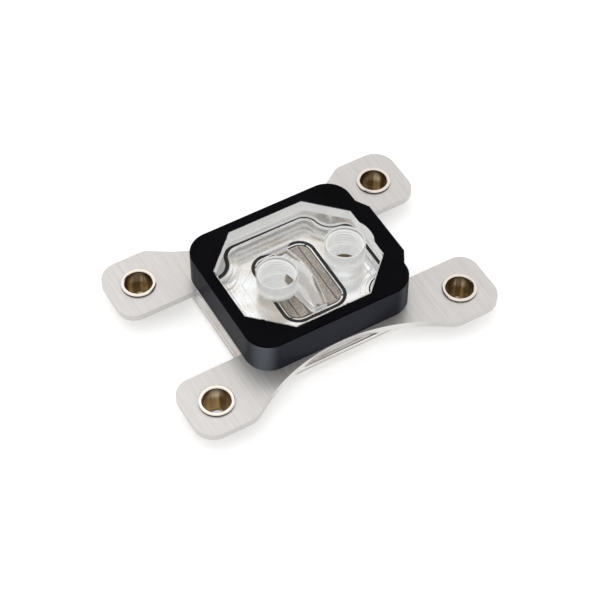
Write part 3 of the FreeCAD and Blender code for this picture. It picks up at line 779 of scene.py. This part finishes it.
def boundary_loops(mesh):
    """Closed chains of vertices round an open surface."""
    beside = {}
    for edge in mesh.edges:
        if edge.is_boundary:
            for one, two in (edge.verts, reversed(edge.verts)):
                beside.setdefault(one, []).append(two)
    loops = []
    while beside:
        chain, before, here = [], None, next(iter(beside))
        while here in beside:
            chain.append(here)
            onward = [v for v in beside.pop(here) if v is not before and v in beside]
            before, here = here, onward[0] if onward else None
        loops.append(chain)
    return loops


def turned_area(chain):
    """Twice the area inside a chain, negative where it runs clockwise."""
    return sum(a.co.x * b.co.y - b.co.x * a.co.y for a, b in zip(chain, chain[1:] + chain[:1]))


def groove_roof_marks(source, material):
    """Veil over the part of the outer seal's groove where the rubber isn't pressed on it."""
    roof = SEAL_ROOF + CONTACT_GAP
    mesh = opened(source.data)
    flat = {face for face in mesh.faces
            if face.normal.z < -0.9 and abs(face.calc_center_median().z - roof) < 0.005 * MM}
    kept = {face for face in flat
            if any(abs(v.co.x) > GROOVE_REACH.x or abs(v.co.y) > GROOVE_REACH.y
                   for v in face.verts)}
    grown = True
    while grown:
        more = {other for face in kept for edge in face.edges for other in edge.link_faces
                if other in flat and other not in kept}
        kept |= more
        grown = bool(more)
    bmesh.ops.delete(mesh, geom=[f for f in mesh.faces if f not in kept], context="FACES")
    loops = sorted(boundary_loops(mesh), key=lambda chain: abs(turned_area(chain)))
    inner = loops[-2]
    sense = 1.0 if turned_area(inner) > 0 else -1.0
    shifts = []
    for before, here, after in zip(inner[-1:] + inner[:-1], inner, inner[1:] + inner[:1]):
        along = (after.co - before.co).normalized()
        outward = Vector((along.y, -along.x, 0)) * sense
        shifts.append((here, outward * pressed_width(here.co.x)))
    for vertex, shift in shifts:
        vertex.co += shift
    for vertex in mesh.verts:
        vertex.co.z += FROST_DEPTH
    data = closed(mesh, "groove_tool_marks")
    return new_piece("groove_tool_marks", data, material, "clear_acrylic")


# Plate and its fins

def field_reach(y, half, corner):
    """Half length of the rounded field at a given y."""
    into = abs(y) - (half.y - corner)
    if into <= 0:
        return half.x
    return half.x - corner + math.sqrt(max(0.0, corner ** 2 - into ** 2))


def fin_stack(material):
    """Fins across the field, cut through at each cross cut."""
    shortest = 0.4 * MM
    foot = FIN_ROOT - 0.05 * MM
    count = int(2 * FIN_FIELD.y / FIN_PITCH)
    cuts = [CROSS_PITCH * i for i in range(-2, 3)]
    mesh = bmesh.new()
    for i in range(count):
        y = (i - (count - 1) / 2) * FIN_PITCH
        reach = field_reach(abs(y) + FIN_THICK / 2, FIN_FIELD, FIN_CORNER)
        stops = [-reach] + [c for c in cuts if abs(c) < reach - shortest] + [reach]
        for left, right in zip(stops, stops[1:]):
            low = left + (CROSS_WIDTH / 2 if left in cuts else 0)
            high = right - (CROSS_WIDTH / 2 if right in cuts else 0)
            for vertex in bmesh.ops.create_cube(mesh, size=1.0)["verts"]:
                vertex.co.x = low if vertex.co.x < 0 else high
                vertex.co.y = y + math.copysign(FIN_THICK / 2, vertex.co.y)
                vertex.co.z = foot if vertex.co.z < 0 else plate_high.z
    data = closed(mesh, "fin_stack")
    return new_piece("fin_stack", data, material, "nickel_plate", "cold_plate")


def plate_without_fins(material):
    """The plate with an open pocket where its fins stand."""
    corner_steps = 12
    data = plain_copy("cold_plate")
    mesh = opened(data)
    reach = FIN_FIELD + Vector((FIN_BORDER, FIN_BORDER)) * 0.5
    spent = [v for v in mesh.verts
             if abs(v.co.x) < reach.x and abs(v.co.y) < reach.y and v.co.z > FIN_ROOT - 0.01 * MM
             and abs(v.co.x) < field_reach(v.co.y, reach, FIN_CORNER)]
    bmesh.ops.delete(mesh, geom=spent, context="VERTS")
    half = FIN_FIELD + Vector((FIN_BORDER, FIN_BORDER))
    corner = FIN_CORNER + FIN_BORDER
    outline = []
    for quarter, (sx, sy) in enumerate([(1, 1), (-1, 1), (-1, -1), (1, -1)]):
        for i in range(corner_steps + 1):
            angle = math.pi / 2 * (quarter + i / corner_steps)
            outline.append(mesh.verts.new((sx * (half.x - corner) + corner * math.cos(angle),
                                           sy * (half.y - corner) + corner * math.sin(angle),
                                           FIN_ROOT)))
    mesh.faces.new(outline)
    mesh.to_mesh(data)
    mesh.free()
    smooth(data)
    return new_piece("cold_plate_body", data, material, "nickel_plate", "cold_plate")


def seal(node, material):
    """Rounds a seal a little and draws it back from its groove."""
    put_on(node, material)
    soften(nodes[node], 0.25 * MM)
    shrink = nodes[node].modifiers.new("clearance", "DISPLACE")
    shrink.strength = -CONTACT_GAP
    shrink.mid_level = 0.0


def dress_pieces():
    put_on("mounting_bracket", brushed_steel())
    soften(nodes["mounting_bracket"], 0.12 * MM)
    plate_without_fins(nickel_plating())
    fin_stack(fin_nickel())
    put_on("top_frame", black_coating())
    turned, oxide, rubber = turned_nickel(), black_oxide(), black_rubber()
    for number in range(1, 5):
        put_on(f"bushing_{number}", turned)
        put_on(f"screw_{number}", oxide)
    seal("inner_seal", rubber)
    seal("outer_seal", rubber)
    clear_top = threaded_clear_top(clear_acrylic())
    thread = frosted_plastic("frosted_thread", thin=0.70, thick=0.86, has_thread=True)
    haze = frosted_plastic("frosted_haze", thin=0.50, thick=0.62)
    jet = frosted_plastic("frosted_jet", thin=0.28, thick=0.46)
    boss = frosted_plastic("frosted_boss", thin=0.48, thick=0.64)
    flange = frosted_plastic("frosted_flange", thin=0.64, thick=0.78)
    recess = frosted_plastic("frosted_recess", thin=0.22, thick=0.36)
    frosted_skin("port_tool_marks", clear_top, thread, on_port_wall)
    port_haze(clear_top, haze)
    frosted_skin("jet_tool_marks", clear_top, jet, on_jet_wall)
    frosted_skin("boss_tool_marks", clear_top, boss, on_boss_wall)
    frosted_skin("flange_tool_marks", clear_top, flange, on_flange_wall)
    frosted_skin("ledge_tool_marks", clear_top, flange, on_ledge)
    groove_roof_marks(clear_top, flange)
    frosted_skin("recess_tool_marks", clear_top, recess, on_recess_wall)


# Table, light and camera

def table():
    """White table, lifted to the photograph's white where the camera or a mirror sees it."""
    half_size, gap, lift = 3.0, 0.02 * MM, 0.41
    mesh = bmesh.new()
    bmesh.ops.create_grid(mesh, x_segments=1, y_segments=1, size=half_size)
    top = show("table", closed(mesh, "table"))
    top.location.z = floor_level - gap
    material, tree, shader = new_material("white_table", Base_Color=grey(0.82), Roughness=0.6,
                                          Specular_IOR_Level=0.2, Emission_Color=grey(1.0))
    path = tree.nodes.new("ShaderNodeLightPath").outputs
    seen = maths(tree, "ADD", maths(tree, "ADD", path["Is Camera Ray"], path["Is Glossy Ray"]),
                 path["Is Transmission Ray"], clamp=True)
    tree.links.new(maths(tree, "MULTIPLY", seen, lift), shader.inputs["Emission Strength"])
    top.data.materials.append(material)


def overhead_lamp():
    light = bpy.data.lights.new("overhead", "AREA")
    light.shape = "RECTANGLE"
    light.size = light.size_y = 1.0
    light.energy = 2.0
    holder = show("overhead", light)
    holder.location = (-0.15, 0.30, 1.0)
    holder.rotation_euler = holder.location.to_track_quat("Z", "Y").to_euler()


def studio():
    """White world, a little dimmer for the light it throws than for what is seen of it."""
    thrown = 0.85
    world = bpy.data.worlds.new("studio")
    bpy.context.scene.world = world
    world.use_nodes = True
    tree = world.node_tree
    back = tree.nodes["Background"]
    back.inputs["Color"].default_value = grey(1.0)
    path = tree.nodes.new("ShaderNodeLightPath").outputs
    mirrored = maths(tree, "ADD", path["Is Glossy Ray"], path["Is Transmission Ray"], clamp=True)
    strength = maths(tree, "MAXIMUM", spread(tree, mirrored, 0.0, 1.0, thrown, 1.0),
                     path["Is Camera Ray"])
    tree.links.new(strength, back.inputs["Strength"])
    overhead_lamp()


def camera():
    data = bpy.data.cameras.new("camera")
    data.sensor_width = 36.0
    data.lens = LENS_PIXELS / PICTURE * data.sensor_width
    data.shift_x = (PICTURE / 2 - AIM_PIXEL[0]) / PICTURE
    data.shift_y = (AIM_PIXEL[1] - PICTURE / 2) / PICTURE
    data.clip_start = 0.01
    flat = math.cos(CAMERA_ELEVATION)
    away = Vector((math.sin(CAMERA_AZIMUTH) * flat, -math.cos(CAMERA_AZIMUTH) * flat,
                   math.sin(CAMERA_ELEVATION)))
    holder = show("camera", data)
    holder.location = Vector((0, 0, AIM_HEIGHT)) + away * CAMERA_DISTANCE
    holder.rotation_euler = away.to_track_quat("Z", "Y").to_euler()
    bpy.context.scene.camera = holder


dress_pieces()
table()
studio()
camera()
bpy.context.scene.view_settings.view_transform = "Standard"
